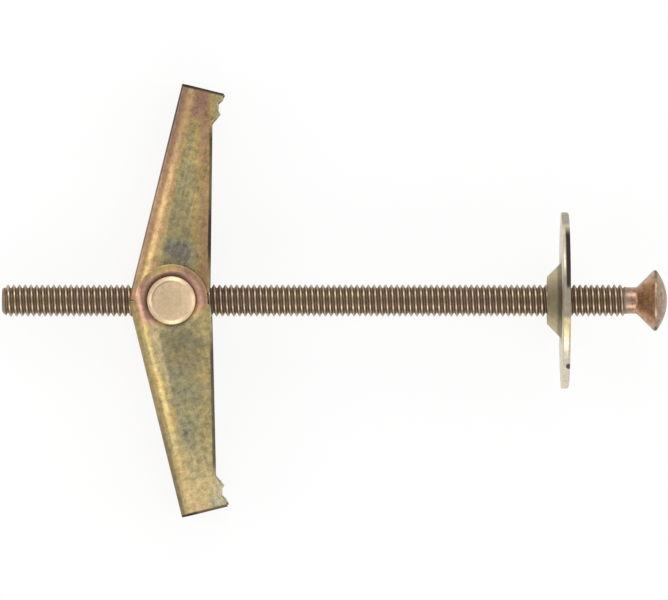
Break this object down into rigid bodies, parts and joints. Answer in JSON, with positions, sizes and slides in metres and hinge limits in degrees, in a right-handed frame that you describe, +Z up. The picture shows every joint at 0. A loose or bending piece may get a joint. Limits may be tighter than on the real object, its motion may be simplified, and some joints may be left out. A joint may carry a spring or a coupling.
{
  "type": "spring toggle bolt",
  "caption": "Spring toggle bolt with a long slotted screw, a dished washer and sprung folding wings on a trunnion nut, for fixing to hollow walls and ceilings.",
  "frame": {"origin": "centre of the footprint, on the surface that the bolt lies on", "axes": "+X along the bolt from its tip to its head, +Y towards the tip of the inner wing, +Z up from the surface; the screw rises a few degrees towards its head, because the bolt rests on a riveted end of the trunnion and on the washer's rim"},
  "size_m": [0.0812, 0.053, 0.0216],
  "materials": {
    "screw_zinc": "yellow chromated zinc plating, satin, with faint colour play",
    "washer_zinc": "yellow chromated zinc plating, satin, with faint colour play",
    "trunnion_zinc": "yellow chromated zinc plating, satin, with faint colour play",
    "wing_zinc": "yellow chromated zinc plating, satin, with faint colour play",
    "spring_wire": "plain drawn spring wire"
  },
  "bodies": {
    "screw": {"screw": "screw_zinc"},
    "toggle": {"trunnion_nut": "trunnion_zinc", "torsion_spring": "spring_wire"},
    "inner_wing": {"inner_wing": "wing_zinc"},
    "outer_wing": {"outer_wing": "wing_zinc"},
    "washer": {"dished_washer": "washer_zinc"}
  },
  "joints": [
    {"name": "toggle_travel", "type": "slide", "parent": "screw", "child": "toggle", "axis": [0.9957, 0, 0.0931], "range_m": [-0.016, 0.014]},
    {"name": "inner_wing_fold", "type": "hinge", "parent": "toggle", "child": "inner_wing", "pos_m": [-0.01974, 0, 0.00632], "axis": [0.0931, 0, -0.9957], "range_deg": [0, 75], "stiffness_Nm_per_rad": 0.02, "springref_deg": -34.38, "deforming": ["torsion_spring"]},
    {"name": "outer_wing_fold", "type": "hinge", "parent": "toggle", "child": "outer_wing", "pos_m": [-0.01974, 0, 0.00632], "axis": [-0.0931, 0, 0.9957], "range_deg": [0, 75], "stiffness_Nm_per_rad": 0.02, "springref_deg": -34.38, "deforming": ["torsion_spring"]},
    {"name": "washer_slide", "type": "slide", "parent": "screw", "child": "washer", "axis": [0.9957, 0, 0.0931], "range_m": [-0.004, 0.0105]}
  ]
}
